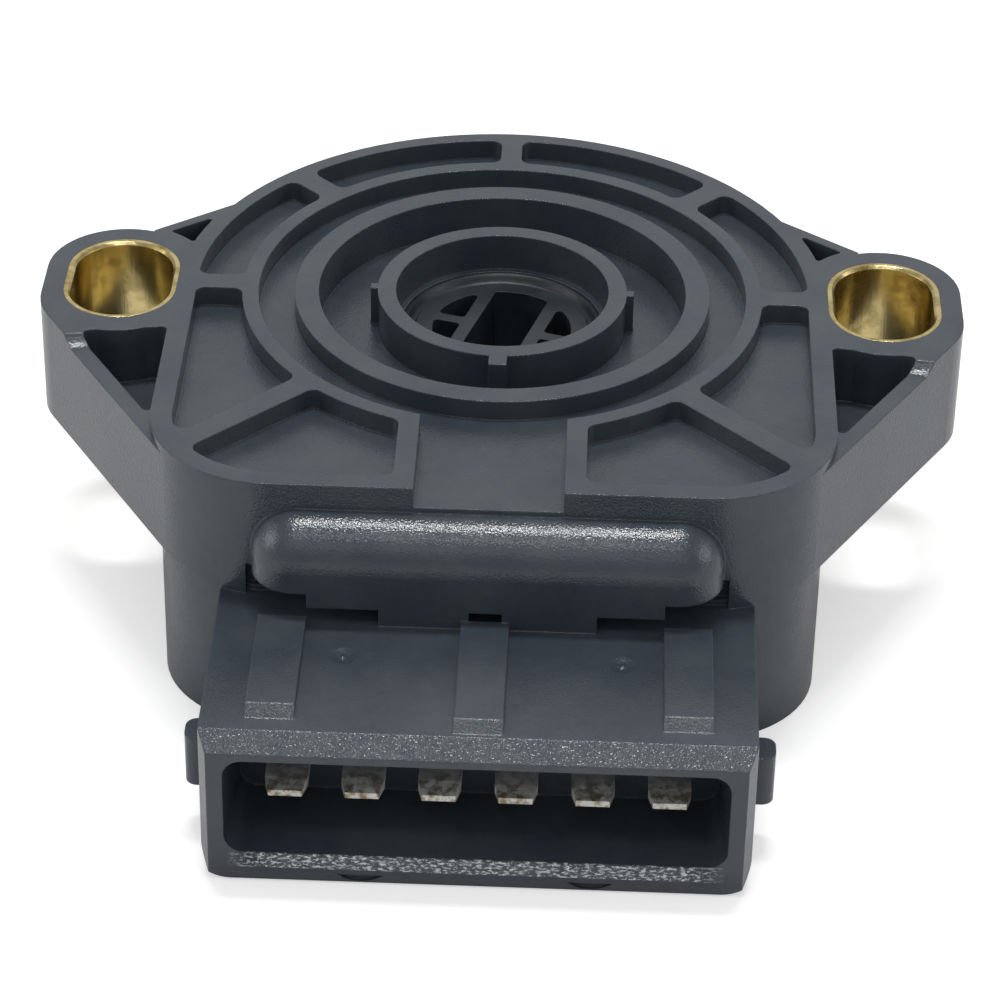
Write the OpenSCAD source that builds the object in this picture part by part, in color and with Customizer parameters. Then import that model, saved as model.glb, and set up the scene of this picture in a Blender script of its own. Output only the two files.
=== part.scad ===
/* [Mounting flange] */
// Thickness of the mounting flange and its two ears
flange_t = 8.6; // [8:0.1:8.9]
// Radius of the round rear edge of the flange
body_r = 23; // [22.5:0.1:25]
// Half width of the flange across its straight flanks
body_half_w = 23.3; // [22.8:0.1:25]
// Distance from the rotor axis to the front wall
front_y = 25.7; // [25.2:0.1:28]
// Radius of the two rounded front corners of the flange
corner_r = 8.6; // [7:0.1:10]
// Overall height from the mounting face to the rear face
body_h = 20.4; // [20:0.1:24]
// How far the lower body stands back from the flange edge
skirt_inset = 0.5; // [0.3:0.1:0.8]
// Wall of the lower body
wall_t = 1.8; // [1.4:0.1:2.2]
// Thickness of the deck below the seal trough
deck_t = 2.5; // [2:0.1:3]

/* [Ears and bushings] */
// Distance from the rotor axis to the centre of each screw slot
ear_x = 27.25; // [27:0.05:29]
// Width of the screw slot
slot_w = 7; // [6:0.1:7.4]
// End-to-end length of the screw slot
slot_len = 9.8; // [9:0.1:10.6]
// Wall of the brass bushing
bush_wall = 0.5; // [0.4:0.05:0.8]
// Break on both ends of the bushing's slot
bush_chamfer = 0.2; // [0.1:0.05:0.3]
// Plastic around the bushing
ear_wall = 1.5; // [1.3:0.1:2.2]
// Extra reach of the ear's rounded wall towards the front
ear_face_extra = 0.3; // [0.2:0.1:0.5]
// Distance from the slot's middle to the straight front edge of the ear's face
ear_edge_y = 7; // [6.9:0.05:7.2]
// Slant of that front edge, in degrees
ear_edge_az = 8.5; // [6:0.5:10]
// Radius where the ear's face drops to the front web
ear_step_r = 1.8; // [1:0.1:2.2]
// Extra reach of the ear towards the front, below its face
ear_front_extra = 1; // [0.8:0.1:1.5]
// Drop of the front web below the mounting face
web_drop = 0.7; // [0.4:0.1:1.2]
// Thickness of the web that joins the ear to the front corner
front_web_t = 1.2; // [0.9:0.05:1.5]
// Thickness of the web behind the ear
back_web_t = 0.8; // [0.6:0.05:1]
// Depth of the pockets inside the ear webs
ear_pocket_d = 4.3; // [3:0.1:5]
// Angle above the cross axis where the rear web meets the round edge
back_web_az = 28.5; // [26:0.5:31]
// Radius in the corners of the pockets in the ears
ear_pocket_r = 0.4; // [0.3:0.05:0.5]
// Plastic between the rear pocket and the ear's rounding
back_pocket_wall = 0.5; // [0.3:0.1:0.7]

/* [Ribs on the mounting face] */
// Depth of the shallow grooves and pockets
groove_d = 1.5; // [1:0.1:2]
// Depth of the seal trough around the pilot ring
trough_d = 3; // [2.5:0.1:3.4]
// Radius of the pilot bore in the inner ring
pilot_r = 7.6; // [7.5:0.05:7.8]
// Depth of the pilot bore
pilot_d = 2.8; // [2.5:0.1:3]
// Outer radius of the inner ring
ring_a_r = 8.9; // [8.7:0.05:9.2]
// Inner radius of the second ring
ring_b_r = 13.1; // [12.8:0.1:13.6]
// Width of the second ring
ring_b_w = 1.7; // [1.4:0.1:2]
// Inner radius of the third ring
ring_c_r = 17.4; // [17.1:0.1:17.8]
// Width of the third ring
ring_c_w = 1.15; // [0.9:0.05:1.5]
// Width of the raised rim along the flange edge
rim_w = 1.5; // [1.3:0.05:1.8]
// Width of the spokes between the third ring and the rim
spoke_w = 1.85; // [1.5:0.05:2.2]
// Width of the rear spoke
rear_spoke_w = 1.55; // [1.3:0.05:2]
// Half width of the open pad at the front
pad_half_w = 5; // [4:0.1:6]
// Width of the ribs beside the pad
pad_rib_w = 1.4; // [1.1:0.1:1.8]
// Radius in the corners of the pockets
pocket_fillet = 0.75; // [0.3:0.05:0.8]
// Reach of the front key beyond the inner ring
front_key_l = 1.15; // [0.8:0.05:1.4]
// Width of the front key
front_key_w = 1.25; // [1:0.05:1.6]
// Reach of the two side keys beyond the inner ring
side_key_l = 0.5; // [0.3:0.05:0.7]
// Width of the two side keys
side_key_w = 0.7; // [0.5:0.05:1]

/* [Nose block above the connector] */
// Half width of the nose block
nose_half_w = 15.8; // [15:0.1:16]
// How far the nose block stands out from the front wall
nose_out = 3.15; // [2.6:0.05:3.6]
// Depth of its top below the mounting face
nose_top = 1.9; // [1.7:0.1:2.4]
// Distance from the middle to the inner end of the left small notch
left_notch_x = 7.1; // [6.6:0.1:7.6]
// Distance from the middle to the inner end of the right small notch
right_notch_x = 7.4; // [6.6:0.1:7.6]
// Half width of the notch in the middle
mid_notch_w = 1.1; // [0.8:0.1:1.3]
// Height of the small notches along its lower edge
notch_h = 1.3; // [1.1:0.1:1.6]
// Depth of the small notches
notch_d = 2; // [1.6:0.1:2.4]
// Height of the two end notches
end_notch_h = 2.4; // [2:0.1:2.6]
// Depth of the two end notches
end_notch_d = 4.2; // [3.4:0.1:4.4]
// Distance from the middle to the outer end of the two end notches
end_notch_x = 16.2; // [16:0.1:16.4]

/* [Connector shroud] */
// Half width of the shroud
shroud_half_w = 18; // [17.5:0.1:19]
// Depth of its top below the mounting face
shroud_top = 9; // [8.8:0.1:9.6]
// Distance from the rotor axis to the mouth
mouth_y = 42; // [41:0.1:44]
// Depth of the socket behind the mouth
socket_d = 7; // [6.5:0.1:8]
// Half width of the socket at its floor
socket_half_w = 15.9; // [15.5:0.1:16.1]
// How much wider the socket is at its mouth on each side
socket_draft = 0.45; // [0.3:0.05:0.6]
// Wall above the socket
socket_top_wall = 1.45; // [1.2:0.05:1.8]
// Wall below the socket
socket_floor_wall = 2.5; // [2:0.1:2.8]
// Radius in the corners of the socket
socket_r = 1.3; // [0.8:0.1:1.6]
// Length of the bevel around the mouth
bevel_l = 1.5; // [1:0.1:1.8]
// Drop of the bevel above the mouth
bevel_top = 0.9; // [0.6:0.05:1.1]
// Setback of the bevel beside the mouth
bevel_side = 0.6; // [0.4:0.05:0.8]
// Height of the break on the lower edge of the mouth
bevel_low = 0.8; // [0.5:0.1:0.9]
// Depth of the break on the lower edge of the mouth
bevel_back = 0.25; // [0.15:0.05:0.4]
// Lead-in on the lower lip of the socket
lip_lead = 1.1; // [0.8:0.1:1.2]
// Lead-in on each side of the socket's mouth
side_lead = 0.25; // [0.1:0.05:0.3]
// Radius of the lower edges of the shroud
shroud_low_r = 2; // [1:0.1:2.4]
// How far the shroud's underside stands above the rear face
shroud_lift = 0.1; // [0.1:0.1:0.5]
// Radius of the two marks in the lower lip
lip_mark_r = 2; // [1.8:0.1:2.4]
// Height of the two marks in the lower lip
lip_mark_h = 0.7; // [0.5:0.1:0.9]
// Depth of the two marks in the lower lip
lip_mark_d = 0.45; // [0.35:0.05:0.6]
// Distance of the two marks from the shroud's underside
lip_mark_in = 0.1; // [0.05:0.05:0.2]
// Height of the three guide ribs
guide_h = 0.65; // [0.4:0.05:0.9]
// Width of the three guide ribs
guide_w = 3.2; // [2.6:0.1:3.6]
// Distance of the outer guide ribs from the middle
guide_x = 13.5; // [13.2:0.1:13.8]
// Distance from the mouth to the front end of the outer guide ribs
guide_end = 2.75; // [2.4:0.05:3.4]
// Distance from the mouth to the front end of the middle guide rib
guide_mid_end = 1.8; // [1.8:0.1:3]
// Length of the ramp at the front end of the guide ribs
guide_ramp = 0.8; // [0.5:0.1:1]
// Distance of the two ejector marks from the middle
eject_x = 9.2; // [8.8:0.1:9.6]
// Distance of the two ejector marks from the nose block
eject_out = 3.4; // [3:0.1:4]
// Radius of the two ejector marks
eject_r = 0.9; // [0.7:0.1:1.1]
// Depth of the two ejector marks
eject_d = 0.12; // [0.1:0.02:0.2]
// Reach of the latch lugs beyond the shroud's flanks
lug_out = 1.4; // [1:0.1:1.7]
// Length of the latch lugs along the shroud
lug_l = 2.3; // [2:0.1:3]
// Height of the latch lugs
lug_h = 3.8; // [3:0.1:4.4]
// Radius of the latch lugs' corners
lug_r = 0.8; // [0.5:0.1:1]
// Distance from the mouth to the middle of the latch lugs
lug_back = 6.3; // [6:0.1:7]
// Thickness of the ribs between the recesses under the connector's root
root_rib_t = 1.2; // [1:0.1:1.4]

/* [Terminals] */
// Distance between neighbouring terminals
pitch = 5; // [4.8:0.05:5.1]
// Width of a terminal blade
blade_w = 2.8; // [2.4:0.1:3]
// Thickness of a terminal blade
blade_t = 0.8; // [0.6:0.05:0.9]
// How far the tips stand back from the mouth
tip_back = 2; // [1.5:0.1:2.4]
// Width of the soldered tail of a terminal
tail_w = 1.6; // [1.2:0.1:2]
// Length of the tail that lies on the board
tail_l = 2.6; // [2:0.1:3]
// Length of the taper at a terminal's tip
tip_l = 1.3; // [1:0.1:1.6]
// How much the taper takes off each side of the tip
tip_side = 0.3; // [0.2:0.05:0.4]
// How much the taper takes off each face of the tip
tip_face = 0.17; // [0.1:0.01:0.2]
// Depth of the notches that lock a blade in the wall
lock_d = 0.5; // [0.3:0.1:0.5]
// Length of the notches that lock a blade in the wall
lock_l = 1.5; // [1:0.1:1.8]

/* [Rotor] */
// Radius of the rotor's journal
journal_r = 6.2; // [6.1:0.05:6.3]
// Radial running clearance of the journal
journal_gap = 0.05; // [0.03:0.01:0.08]
// Inner radius of the ring at the rotor's head
head_in_r = 5; // [4.8:0.1:5.2]
// Depth of the rotor's head below the mounting face
head_z = 3.2; // [3.1:0.05:3.5]
// Width of the drive slot
drive_w = 4; // [3.6:0.1:4.4]
// Thickness of the two plates beside the drive slot
drive_plate_t = 1; // [0.8:0.05:1.2]
// Width of the two cross ribs of the head
drive_rib_w = 0.9; // [0.7:0.05:1.2]
// Depth of the drive slot and windows
drive_d = 6; // [5:0.1:6.4]
// Turn of the drive slot at rest, clockwise from the fore-and-aft line
drive_az = 16.5; // [10:0.5:25]
// Room between the wiper disc and the wall around it
disc_room = 3; // [2.6:0.1:3.4]
// Thickness of the wiper disc
disc_t = 1.5; // [1.2:0.1:1.8]
// Radius of the rotor's lower hub
hub_r = 3.4; // [3.2:0.1:3.8]
// Radius of the pivot on the rear cover
pivot_r = 1.8; // [1.6:0.1:2]
// Largest turn of the rotor from rest, in degrees
travel = 95; // [80:1:105]
// Angle that the stop lug of the rotor covers, in degrees
lug_span = 16; // [12:1:20]
// Angle that each stop in the housing covers, in degrees
stop_span = 14; // [10:1:16]
// Angle of the stop lug at rest, from the cross axis
stop_az = -60; // [-62:1:-58]
// Gap between the stop lug and a stop at each end of the travel, in degrees
stop_gap = 0.15; // [0.1:0.05:0.3]
// Gap between the wiper disc and the stops
disc_gap = 0.4; // [0.3:0.05:0.5]

/* [Seal, washer and spring] */
// Outer radius of the shaft seal
seal_r = 7.2; // [7.1:0.05:7.4]
// Height of the shaft seal
seal_h = 2; // [1.8:0.1:2.2]
// Thickness of the thrust washer
washer_t = 0.4; // [0.3:0.05:0.5]
// Wire diameter of the return spring
wire_d = 0.7; // [0.6:0.05:0.8]
// Mean radius of the return spring
coil_r = 9.6; // [9.4:0.1:10]
// Number of turns of the return spring, where the bearing tube has room for them
coil_turns = 3.5; // [2.5:1:3.5]
// Gap between the return spring and the bearing tube
coil_gap = 1; // [0.8:0.1:1.2]
// Length of the spring's upper leg
leg_l = 2.2; // [2:0.1:2.6]
// Gap beside the spring's upper leg
leg_gap = 0.1; // [0.05:0.05:0.2]
// Thickness of the two ribs beside the spring's upper leg
leg_rib_t = 0.8; // [0.6:0.1:1]
// Height of the two ribs beside the spring's upper leg
leg_rib_h = 1.3; // [1:0.1:1.6]

/* [Tracks and wipers] */
// Room between the wiper disc and the board
wiper_room = 3.2; // [3:0.1:3.4]
// Width of the resistor tracks
track_w = 1.3; // [1.1:0.1:1.5]
// Height of the resistor tracks on the board
track_t = 0.05; // [0.04:0.01:0.08]
// Clearance between the wiper tips and the tracks
tip_gap = 0.02; // [0.02:0.01:0.04]
// Thickness of the wipers
wiper_t = 0.25; // [0.2:0.05:0.3]
// Width of the riveted strip of a wiper
wiper_strip_w = 2.4; // [2:0.1:2.6]
// Width of a wiper arm
arm_w = 0.5; // [0.4:0.05:0.6]
// Length of a wiper arm
arm_run = 3.4; // [3:0.1:3.8]
// Distance from a track's middle line to each of its two wiper arms
arm_off = 0.4; // [0.35:0.05:0.45]
// Height of the upturned end of a wiper arm
arm_tip_h = 0.6; // [0.4:0.1:0.8]
// Radius of the wiper rivets
rivet_r = 0.5; // [0.4:0.05:0.6]
// Height of the rivet heads
rivet_h = 0.35; // [0.25:0.05:0.45]

/* [Element board and rear cover] */
// Thickness of the element board
board_t = 1; // [0.8:0.1:1.2]
// Width of the ledge that the board seats on
ledge_w = 2; // [1.6:0.1:2.4]
// Gap around the board
edge_gap = 0.15; // [0.1:0.05:0.25]
// Room between the board and the rear cover
cover_room = 2.9; // [2.7:0.1:3.1]
// Thickness of the rear cover
cover_t = 1.6; // [1.4:0.1:1.8]
// Width of the shoulder that the cover seats on
cover_ledge_w = 0.4; // [0.3:0.05:0.5]
// Width of the bead of sealant around the cover
bead_w = 0.6; // [0.4:0.05:0.7]
// How far the bead stays below the rear face
bead_low = 0.3; // [0.1:0.05:0.5]
// Gap between the rotor's hub and the board
hub_gap = 0.7; // [0.5:0.1:0.9]
// Running clearance of the hub on the pivot
pivot_gap = 0.05; // [0.03:0.01:0.08]
// Height of the boss below the wave washer
cover_boss_h = 1.1; // [0.9:0.1:1.3]
// Free height of the wave washer
wave_h = 0.43; // [0.38:0.01:0.44]
// Thickness of the wave washer
wave_t = 0.2; // [0.15:0.05:0.25]
// Width of the groove around the cover's rear face
panel_w = 0.8; // [0.6:0.1:1]
// Distance of that groove from the cover's edge
panel_in = 2.2; // [1.8:0.1:2.6]
// Depth of that groove
panel_d = 0.3; // [0.2:0.05:0.4]
// Radius of the gate mark on the cover's rear face
gate_r = 2.2; // [1.8:0.1:2.6]
// Depth of the gate mark
gate_d = 0.5; // [0.3:0.1:0.6]
// Height of the heads that hold the board
head_h = 0.5; // [0.4:0.1:0.6]
// Radius of the two corner pillars below the board
pillar_r = 2; // [1.7:0.1:2.2]

/* [Hidden] */
$fn = 96;
eps = 0.01;
cut = 1;

// plan of the flange and the lower body
corner_x = body_half_w - corner_r;
corner_y = front_y - corner_r;
slot_straight = slot_len - slot_w;
ear_r = slot_w / 2 + bush_wall + ear_wall;
skirt_w = body_half_w - skirt_inset;
cavity_w = skirt_w - wall_t;
cover_w = cavity_w + cover_ledge_w;
cover_hole_w = cover_w + bead_w;
deck_w = cavity_w - ledge_w;

// heights, measured down from the mounting face
ceiling_z = trough_d + deck_t;
seal_floor_z = pilot_d + seal_h;
cover_top_z = body_h - cover_t;
board_low_z = cover_top_z - cover_room;
board_top_z = board_low_z - board_t;
blade_z = board_top_z - blade_t / 2;
disc_low_z = board_top_z - wiper_room;
disc_top_z = disc_low_z - disc_t;
tube_end_z = disc_top_z - washer_t;

// bearing tube, wiper disc and the parts around them
disc_r = deck_w - disc_room;
coil_room = disc_top_z - ceiling_z - wire_d - 0.2;
turns = min(coil_turns, max(0, floor(coil_room / wire_d - 0.5)) + 0.5);
tube_r = coil_r - wire_d / 2 - coil_gap;
bearing_r = journal_r + journal_gap;
wave_gap = 0.01;
hub_end_z = cover_top_z - cover_boss_h - wave_h - 2 * wave_gap;
pivot_top_z = board_top_z - 0.6;
board_hole_r = hub_r + hub_gap;

// connector
nose_y = front_y + nose_out;
nose_sink = socket_top_wall / 2;
socket_top_z = shroud_top + socket_top_wall;
socket_low_z = body_h - socket_floor_wall;
socket_back_y = mouth_y - socket_d;
tip_y = mouth_y - tip_back;
tail_in_y = deck_front() - tail_l;

// stops of the rotor
stop_in_r = disc_r + disc_gap;
stop_lug_r = deck_w - 0.5;

// middle radii of the resistor tracks, from the inside out
track_r = [for (k = [0.45, 0.575, 0.725, 0.8375]) k * disc_r];

// the round rear stands this far past the straight flanks, so they meet at a soft kink
rear_out = 0.1;

// point where an ear's rear web leaves the ear, from the slot's centre line
back_web_x = 1.6;

// posts that hold the board, as [x, y, radius]: two on the corners, two on the ledge
corner_stake = [2.5 * pitch + 2, -corner_y + 1.5, 0.9];
ledge_stake = [(deck_w + 0.85) * cos(50), (deck_w + 0.85) * sin(50), 0.6];
stakes = [for (s = [-1, 1]) for (p = [corner_stake, ledge_stake]) [s * p[0], p[1], p[2]]];

// distance from the rotor axis to the front wall of the upper cavity
function deck_front() = front_y - skirt_inset - wall_t - ledge_w;

// a point at radius r and angle a
function polar(r, a) = [r * cos(a), r * sin(a)];

// outward normal angle of the line that touches two circles on their outer side
function tangent_normal(c1, r1, c2, r2) =
    let (d = c2 - c1) atan2(d[1], d[0]) - acos((r1 - r2) / norm(d));

ear_front_c = [-ear_x, -slot_straight / 2 - ear_front_extra];
corner_c = [-corner_x, -corner_y];
web_n = tangent_normal(ear_front_c, ear_r, corner_c, corner_r);
web_c = ear_front_c * polar(1, web_n) + ear_r;

// where the inner side of the front web stands at a given x
function web_y(x) = (web_c - front_web_t - x * cos(web_n)) / sin(web_n);

// disc that is cut off straight at a distance towards the front
module round_rear(r, front) {
    intersection() {
        circle(r);
        translate([-2 * r, -front]) square([4 * r, front + 2 * r]);
    }
}

// outline that is round behind and has two rounded front corners
module d_outline(half_w, front, r) {
    round_rear(half_w + rear_out, front - r);
    translate([-half_w, -(front - r)]) square([2 * half_w, front - r]);
    translate([-(half_w - r), -front]) square([2 * (half_w - r), front]);
    for (s = [-1, 1]) translate([s * (half_w - r), -(front - r)]) circle(r);
}

// the same outline, set in from the flange edge by a distance
module inset_outline(by) {
    d_outline(body_half_w - by, front_y - by, corner_r - by);
}

// slot shape that runs fore and aft
module obround(r, straight) {
    for (s = [-1, 1]) translate([0, s * straight / 2]) circle(r);
    translate([-r, -straight / 2]) square([2 * r, straight]);
}

module rounded(r) {
    offset(r = r, $fn = 24) offset(delta = -r) let ($fn = 96) children();
}

module flange_outline() {
    round_rear(body_r, corner_y);
    translate([-body_half_w, -corner_y]) square([2 * body_half_w, corner_y - 1]);
    translate([-corner_x, -front_y]) square([2 * corner_x, front_y]);
    for (s = [-1, 1]) translate([s * corner_x, -corner_y]) circle(corner_r);
}

// everything behind the straight front edge of the left ear's face, or a distance farther back
module ear_edge(back = 0) {
    translate([-ear_x, -ear_edge_y]) rotate(ear_edge_az)
        translate([-2 * ear_x, back]) square(4 * ear_x);
}

// ear with its rear web, as seen on the mounting face
module ear_face() {
    translate([-ear_x, slot_straight / 2]) circle(ear_r);
    translate([-ear_x, -slot_straight / 2 - ear_face_extra]) circle(ear_r);
    translate([-ear_x - ear_r, -slot_straight / 2]) square([2 * ear_r, slot_straight]);
    polygon([[-ear_x + back_web_x, slot_straight / 2 + ear_r - 0.05], polar(body_r, 180 - back_web_az),
             [0, 0], [-ear_x, 0]]);
    intersection() {
        ear_foot();
        ear_edge();
    }
}

// ear with its front web, below the mounting face
module ear_foot() {
    translate(ear_front_c) circle(ear_r);
    translate(ear_front_c - [ear_r, 0]) square([2 * ear_r, -ear_front_c[1]]);
    polygon([ear_front_c, ear_front_c + polar(ear_r, web_n), corner_c + polar(corner_r, web_n),
             corner_c, [0, 0]]);
}

// hollow rounding where the ear's face drops to the top of the front web
module ear_step() {
    r = ear_step_r;
    intersection() {
        translate([-ear_x, -ear_edge_y, -web_drop]) rotate([90, 0, 90 + ear_edge_az])
            translate([0, 0, -2 * ear_r]) linear_extrude(4 * ear_r) difference() {
                translate([-r, -eps]) square([r + eps, web_drop + eps]);
                translate([-r, r - 2 * eps]) circle(r);
            }
        translate([0, 0, -flange_t]) linear_extrude(flange_t) ear_foot();
    }
}

// plan of the deep pocket between the ear and the front web
module front_ear_pocket() {
    x = -ear_x - ear_r;
    rounded(ear_pocket_r) difference() {
        polygon([[-body_half_w, 0], [-body_half_w, web_y(-body_half_w)], [x, web_y(x)], [x, 0]]);
        ear_edge(2 * eps);
        translate([-ear_x, -slot_straight / 2 - ear_face_extra]) circle(ear_r - 2 * eps);
    }
}

// plan of the small pocket between the ear and the rear web
module back_ear_pocket() {
    a = [-ear_x + back_web_x, slot_straight / 2 + ear_r];
    b = polar(body_r, 180 - back_web_az);
    u = (b - a) / norm(b - a);
    n = [u[1], -u[0]];
    rounded(ear_pocket_r / 2) difference() {
        polygon([a + n * back_web_t, b + n * back_web_t, b + n * 2 * ear_r, a + n * 2 * ear_r]);
        circle(body_r + back_pocket_wall / 2);
        translate([-ear_x, slot_straight / 2]) circle(ear_r + back_pocket_wall);
    }
}

// plan of the pockets between the third ring and the rim
module face_pockets() {
    rounded(pocket_fillet) difference() {
        inset_outline(rim_w);
        circle(ring_c_r + ring_c_w);
        for (a = [0, 45, 135, 180, 225, 315])
            rotate(a) translate([0, -spoke_w / 2]) square([2 * body_r, spoke_w]);
        translate([-rear_spoke_w / 2, 0]) square([rear_spoke_w, 2 * body_r]);
        translate([-pad_half_w - pad_rib_w, -2 * body_r]) square([2 * (pad_half_w + pad_rib_w), 2 * body_r]);
    }
}

// inner ring with its three keys
module inner_ring() {
    circle(ring_a_r);
    translate([-front_key_w / 2, -ring_a_r - front_key_l]) square([front_key_w, ring_a_r]);
    translate([-ring_a_r - side_key_l, -side_key_w / 2]) square([2 * (ring_a_r + side_key_l), side_key_w]);
}

// everything that is sunk into the mounting face
module face_cuts() {
    translate([0, 0, -groove_d]) linear_extrude(groove_d + cut) {
        face_pockets();
        difference() {
            circle(ring_c_r);
            circle(ring_b_r + ring_b_w);
        }
        difference() {
            translate([-pad_half_w, -front_y - cut]) square([2 * pad_half_w, front_y]);
            circle(ring_b_r + ring_b_w);
        }
    }
    translate([0, 0, -trough_d]) linear_extrude(trough_d + cut) difference() {
        circle(ring_b_r);
        inner_ring();
    }
    for (s = [0, 1]) mirror([s, 0, 0]) {
        translate([0, 0, -ear_pocket_d]) linear_extrude(ear_pocket_d + cut) {
            front_ear_pocket();
            back_ear_pocket();
        }
        translate([0, 0, -flange_t - cut]) linear_extrude(flange_t - ear_pocket_d - wall_t + cut)
            front_ear_pocket();
    }
}

// section of the nose block in Y and Z: a quarter-round top over a straight front
module nose_section() {
    low = shroud_top + nose_sink;
    translate([0, -nose_top - nose_out]) intersection() {
        circle(nose_out);
        square(nose_out);
    }
    translate([0, -low]) square([nose_out, low - nose_top - nose_out]);
}

// block above the connector, rounded the same way at its top and at its two ends
module nose_block() {
    flat_w = nose_half_w - nose_out;
    root = corner_r / 2;
    translate([-flat_w, -front_y, 0]) rotate([90, 0, 90]) linear_extrude(2 * flat_w)
        mirror([1, 0]) nose_section();
    for (s = [0, 1]) mirror([s, 0, 0]) translate([flat_w, -front_y, 0]) {
        rotate(-90) rotate_extrude(angle = 90) nose_section();
        translate([0, root, 0]) rotate([90, 0, 0]) linear_extrude(root) nose_section();
    }
    translate([-flat_w, -front_y, -shroud_top - nose_sink])
        cube([2 * flat_w, root, shroud_top + nose_sink - nose_top]);
    translate([0, 0, -shroud_top - eps]) linear_extrude(shroud_top - flange_t + 2 * eps) intersection() {
        flange_outline();
        translate([-shroud_half_w, -front_y]) square([2 * shroud_half_w, corner_r]);
    }
}

// notches along the lower edge of the nose block
module nose_notches() {
    rib_in = guide_x - guide_w / 2;
    for (x = [[-rib_in, -left_notch_x], [-mid_notch_w, mid_notch_w], [right_notch_x, rib_in]])
        translate([x[0], -nose_y - cut, -shroud_top - cut]) cube([x[1] - x[0], notch_d + cut, notch_h + cut]);
    for (x = [-end_notch_x, rib_in])
        translate([x, -nose_y - cut, -shroud_top - cut])
            cube([end_notch_x - rib_in, end_notch_d + cut, end_notch_h + cut]);
}

// shroud of the connector, its section drawn in X and Z
module shroud_section() {
    low = -body_h + shroud_lift;
    flat_w = shroud_half_w - shroud_low_r;
    translate([-shroud_half_w, low + shroud_low_r])
        square([2 * shroud_half_w, -shroud_top - shroud_low_r - low]);
    translate([-flat_w, low]) square([2 * flat_w, shroud_low_r + eps]);
    for (s = [-1, 1]) translate([s * flat_w, low + shroud_low_r]) circle(shroud_low_r);
}

// wedge that bevels an edge along X: its corner is the origin, the part lies at +Y and below
module bevel(len, back, drop) {
    rotate([90, 0, 90]) translate([0, 0, -len / 2]) linear_extrude(len)
        polygon([[-cut, -drop * (1 + cut / back)], [-cut, cut], [back, cut], [back, 0]]);
}

module guide_rib(x, end) {
    root = -nose_y + 0.05;
    translate([x - guide_w / 2, 0, 0]) rotate([90, 0, 90]) linear_extrude(guide_w)
        polygon([[root, -shroud_top - 1], [root, -shroud_top + guide_h],
                 [-mouth_y + end + guide_ramp, -shroud_top + guide_h], [-mouth_y + end, -shroud_top],
                 [-mouth_y + end, -shroud_top - 1]]);
}

module shroud() {
    root_y = front_y - corner_r / 2;
    difference() {
        translate([0, -root_y, 0]) rotate([90, 0, 0]) linear_extrude(mouth_y - root_y) shroud_section();
        translate([0, -mouth_y, -shroud_top]) bevel(3 * shroud_half_w, bevel_l, bevel_top);
        for (s = [-1, 1]) translate([s * shroud_half_w, -mouth_y, -body_h / 2]) rotate([0, s * 90, 0])
            bevel(2 * body_h, bevel_l, bevel_side);
        translate([0, -mouth_y, -body_h + shroud_lift]) mirror([0, 0, 1])
            bevel(3 * shroud_half_w, bevel_back, bevel_low);
    }
    for (s = [-1, 1]) guide_rib(s * guide_x, guide_end);
    guide_rib(0, guide_mid_end);
    for (s = [0, 1]) mirror([s, 0, 0]) latch_lug();
}

// rounded lug on the flank that a wire latch snaps behind
module latch_lug() {
    translate([shroud_half_w, -mouth_y + lug_back, -(shroud_top + body_h) / 2 - lug_h / 2])
        linear_extrude(lug_h) {
            translate([-wall_t / 2, -lug_l / 2]) square([wall_t / 2 + lug_out - lug_r, lug_l]);
            translate([0, -lug_l / 2 + lug_r]) square([lug_out, lug_l - 2 * lug_r]);
            for (s = [-1, 1]) translate([lug_out - lug_r, s * (lug_l / 2 - lug_r)]) circle(lug_r);
        }
}

// thin slice of the socket at a depth of Y, with a half width and its lower edge
module socket_slice(y, half_w, low) {
    r = socket_r;
    translate([0, -y, 0]) rotate([90, 0, 0]) linear_extrude(eps) {
        translate([-half_w, -low + r]) square([2 * half_w, low - socket_top_z - 2 * r]);
        translate([-half_w + r, -low]) square([2 * (half_w - r), low - socket_top_z]);
        for (x = [-1, 1], z = [-low + r, -socket_top_z - r]) translate([x * (half_w - r), z]) circle(r, $fn = 32);
    }
}

// socket of the connector: it widens to its mouth and has a lead-in on the lower lip
module socket() {
    mouth_w = socket_half_w + socket_draft;
    hull() {
        socket_slice(socket_back_y, socket_half_w, socket_low_z);
        socket_slice(mouth_y, mouth_w, socket_low_z);
    }
    hull() {
        socket_slice(mouth_y - lip_lead, mouth_w - socket_draft * lip_lead / socket_d, socket_low_z);
        socket_slice(mouth_y, mouth_w + side_lead, socket_low_z + lip_lead);
    }
    for (x = [-1.5 * pitch, 1.5 * pitch]) translate([x, 0, -body_h + shroud_lift + lip_mark_in]) lip_mark();
}

// shallow mark with a round lower edge, just above the shroud's underside
module lip_mark() {
    intersection() {
        translate([0, -mouth_y + lip_mark_d, lip_mark_r]) rotate([90, 0, 0])
            cylinder(r = lip_mark_r, h = cut + lip_mark_d);
        translate([-lip_mark_r, -mouth_y - cut, -cut])
            cube([2 * lip_mark_r, 2 * cut, cut + lip_mark_h]);
    }
}

// recesses under the root of the connector, between ribs
module root_pockets() {
    for (i = [-2.5:1:2.5])
        translate([i * pitch - (pitch - root_rib_t) / 2, -socket_back_y + wall_t, -body_h - cut])
            cube([pitch - root_rib_t, socket_back_y - wall_t - front_y - root_rib_t / 2,
                  body_h - blade_z - 2 * blade_t + cut]);
}

// inside of the lower body, stepped for the board and the cover
module cavity() {
    for (h = [[ceiling_z, deck_w], [board_top_z, cavity_w], [cover_top_z, cover_hole_w]])
        translate([0, 0, -body_h - cut]) linear_extrude(body_h + cut - h[0])
            inset_outline(body_half_w - h[1]);
}

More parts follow.
